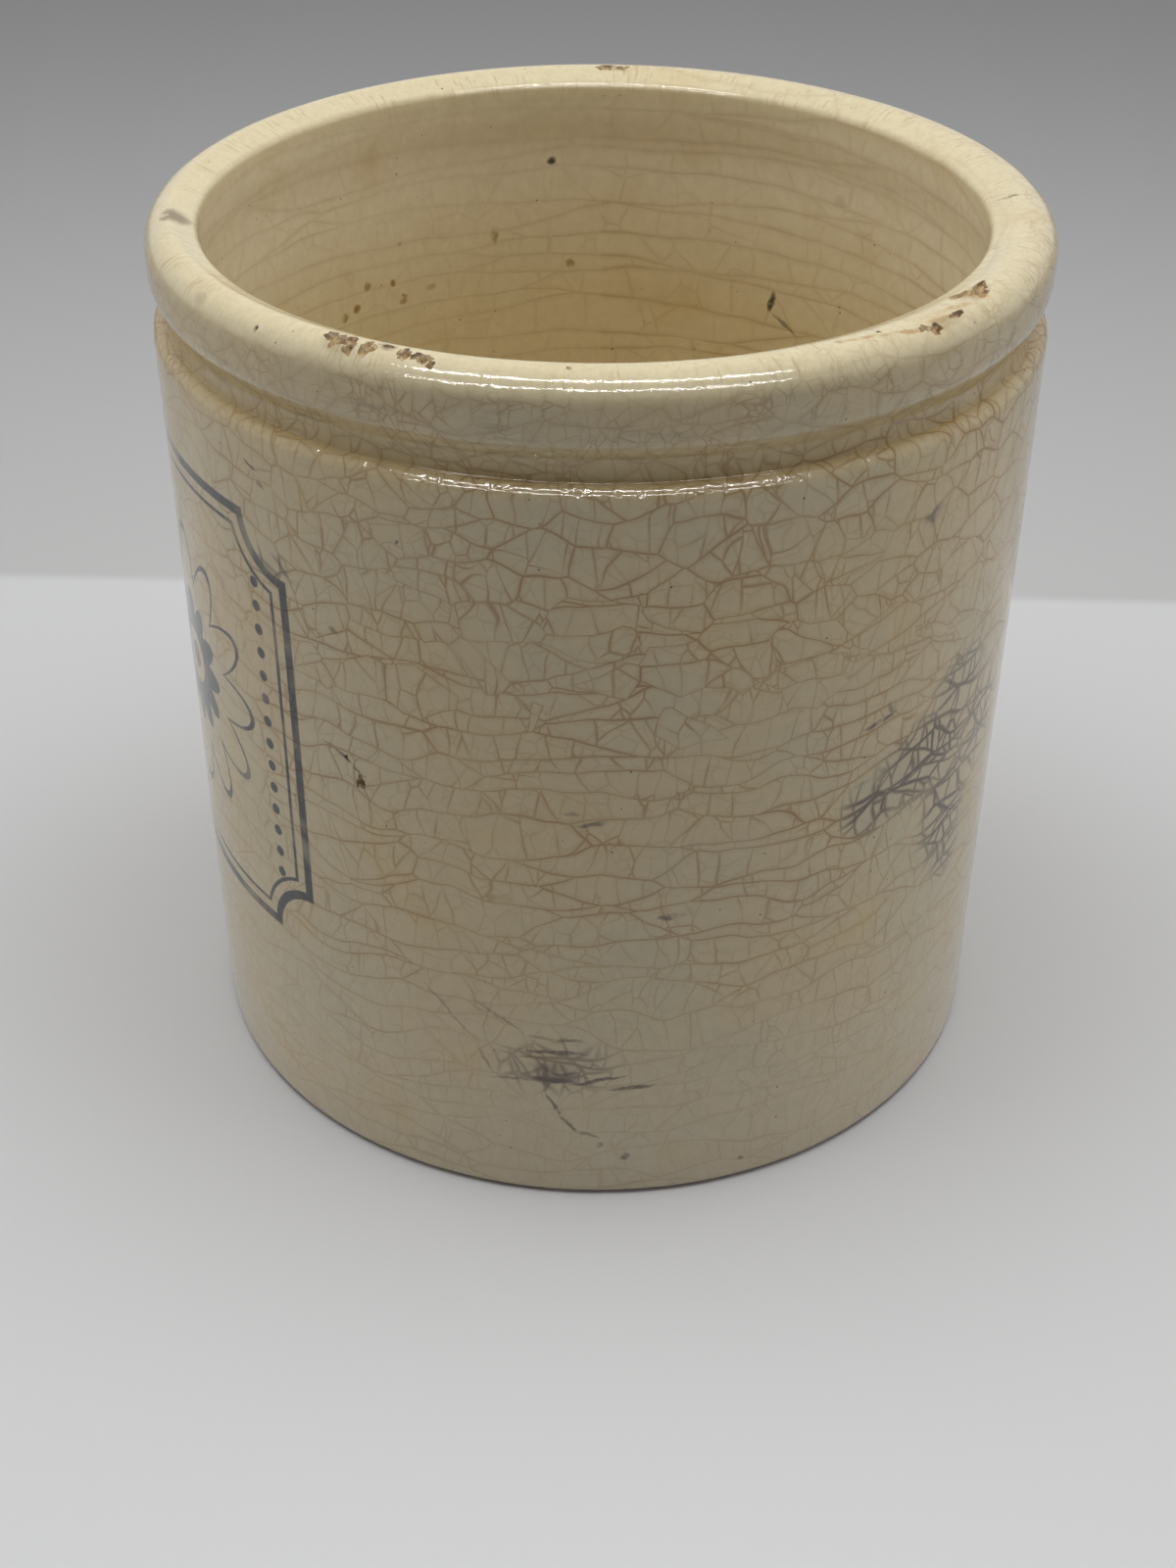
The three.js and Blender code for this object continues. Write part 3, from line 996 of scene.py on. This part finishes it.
def makeFloor():
    bm = bmesh.new()
    bmesh.ops.create_grid(bm, x_segments=8, y_segments=8, size=floorLook["halfSize"])
    bmesh.ops.translate(bm, verts=bm.verts, vec=(0, 0, floorLook["drop"]))
    mesh = bpy.data.meshes.new("studioFloor")
    bm.to_mesh(mesh)
    bm.free()
    floor = bpy.data.objects.new("studioFloor", mesh)
    scene.collection.objects.link(floor)
    material, tree = newMaterial("paleFloor")
    coords = put(tree, "ShaderNodeTexCoord").outputs["Object"]
    parts = put(tree, "ShaderNodeSeparateXYZ", {"Vector": coords})
    slanted = maths(tree, "MULTIPLY_ADD", parts.outputs["X"], floorLook["slant"], parts.outputs["Y"])
    edge, softness = floorLook["edge"], floorLook["softness"]
    behind = eased(tree, slanted, edge - softness, edge + softness)
    # Painted shade: the floor darkens farther behind that edge
    far = eased(tree, slanted, edge, edge + floorLook["farther"])
    backdropWithShade = tint(tree, far, floorLook["behind"], floorLook["far"])
    colour = tint(tree, behind, floorLook["pale"], backdropWithShade)
    path = put(tree, "ShaderNodeLightPath")
    looked = largest(tree, path.outputs["Is Camera Ray"], path.outputs["Is Glossy Ray"])
    bounce = (floorLook["bounce"],) * 3 + (1,)
    colour = tint(tree, maths(tree, "SUBTRACT", 1.0, looked), colour, bounce, "MULTIPLY")
    sockets = {"Base Color": colour, "Roughness": floorLook["roughness"]}
    shader = put(tree, "ShaderNodeBsdfPrincipled", sockets)
    put(tree, "ShaderNodeOutputMaterial", {"Surface": shader.outputs["BSDF"]})
    mesh.materials.append(material)


makeFloor()

# Soft overhead light, with two thin lamps that draw the lines along the rim

lamps = {
    "softbox": {
        "place": (0, -0.01, 0.50),
        "aim": (0, -0.01, 0),
        "size": (0.60, 0.34),
        "power": 1.98,
        "lines": False,
    },
    "topLamp": {
        "place": (0, -0.15, 0.52),
        "aim": (0, -0.05, 0.11),
        "size": (0.54, 0.02),
        "power": 1.9,
        "lines": True,  # seen as a line in the glaze, and lights nothing else
    },
    "frontLamp": {
        "place": (0, -0.40, 0.45),
        "aim": (0, -0.05, 0.11),
        "size": (0.86, 0.02),
        "power": 2.1,
        "lines": True,
    },
}

for name, lamp in lamps.items():
    light = bpy.data.lights.new(name, "AREA")
    light.shape = "RECTANGLE"
    light.size, light.size_y = lamp["size"]
    light.energy = lamp["power"]
    holder = bpy.data.objects.new(name, light)
    scene.collection.objects.link(holder)
    aim = Vector(lamp["aim"]) - Vector(lamp["place"])
    turn = aim.to_track_quat("-Z", "Y").to_matrix().to_4x4()
    holder.matrix_world = Matrix.Translation(lamp["place"]) @ turn
    holder.visible_glossy = lamp["lines"]
    holder.visible_diffuse = not lamp["lines"]
    holder.visible_camera = False

room = {
    "beyond": (0.60, 0.60, 0.61, 1),        # past the edge of the floor
    "seen": (0.55, 0.555, 0.565, 1),        # what the glaze mirrors at the sides and behind
    "seenFront": (0.04, 0.04, 0.045, 1),
    "fill": (0.18, 0.18, 0.18, 1),          # what it adds to the light from above and behind
    "fillSide": (0.95, 0.95, 0.95, 1),
    "fillFront": (0.0, 0.0, 0.0, 1),
}


def makeRoom():
    world = bpy.data.worlds.new("studio")
    scene.world = world
    world.use_nodes = True
    tree = world.node_tree
    tree.nodes.clear()
    coords = put(tree, "ShaderNodeTexCoord").outputs["Generated"]
    way = put(tree, "ShaderNodeSeparateXYZ", {"Vector": coords})
    behind = eased(tree, way.outputs["Y"], -0.8, 0.1)
    aside = eased(tree, maths(tree, "ABSOLUTE", way.outputs["X"]), 0.55, 0.95)
    seen = tint(tree, behind, room["seenFront"], room["seen"])
    fill = tint(tree, behind, room["fillFront"], room["fill"])
    fill = tint(tree, aside, fill, room["fillSide"])
    path = put(tree, "ShaderNodeLightPath")
    colour = tint(tree, path.outputs["Is Glossy Ray"], fill, seen)
    colour = tint(tree, path.outputs["Is Camera Ray"], colour, room["beyond"])
    back = put(tree, "ShaderNodeBackground", {"Color": colour, "Strength": 1.0})
    put(tree, "ShaderNodeOutputWorld", {"Surface": back.outputs["Background"]})


makeRoom()

# Camera where the photograph was taken from

view = {
    "place": (0, -0.26783, 0.20740),
    "lens": 52.096,          # millimetres, on a sensor of the width below
    "sensor": 36,
    "pitch": 0.5900,         # radians down, to the right and tilted
    "yaw": -0.00441,
    "roll": 0.00650,
    "nearest": 0.01,
}


def makeCamera():
    pitch, yaw, roll = view["pitch"], view["yaw"], view["roll"]
    forward = Vector((sin(yaw) * cos(pitch), cos(yaw) * cos(pitch), -sin(pitch)))
    level = Vector((cos(yaw), -sin(yaw), 0))
    upward = level.cross(forward)
    right = level * cos(roll) + upward * sin(roll)
    top = upward * cos(roll) - level * sin(roll)
    axes = Matrix((right, top, -forward)).transposed().to_4x4()
    camera = bpy.data.cameras.new("viewer")
    camera.lens = view["lens"]
    camera.sensor_width = view["sensor"]
    camera.clip_start = view["nearest"]
    holder = bpy.data.objects.new("viewer", camera)
    holder.matrix_world = Matrix.Translation(view["place"]) @ axes
    scene.collection.objects.link(holder)
    scene.camera = holder


makeCamera()
scene.view_settings.view_transform = "Standard"
print("floor, lights and camera set")
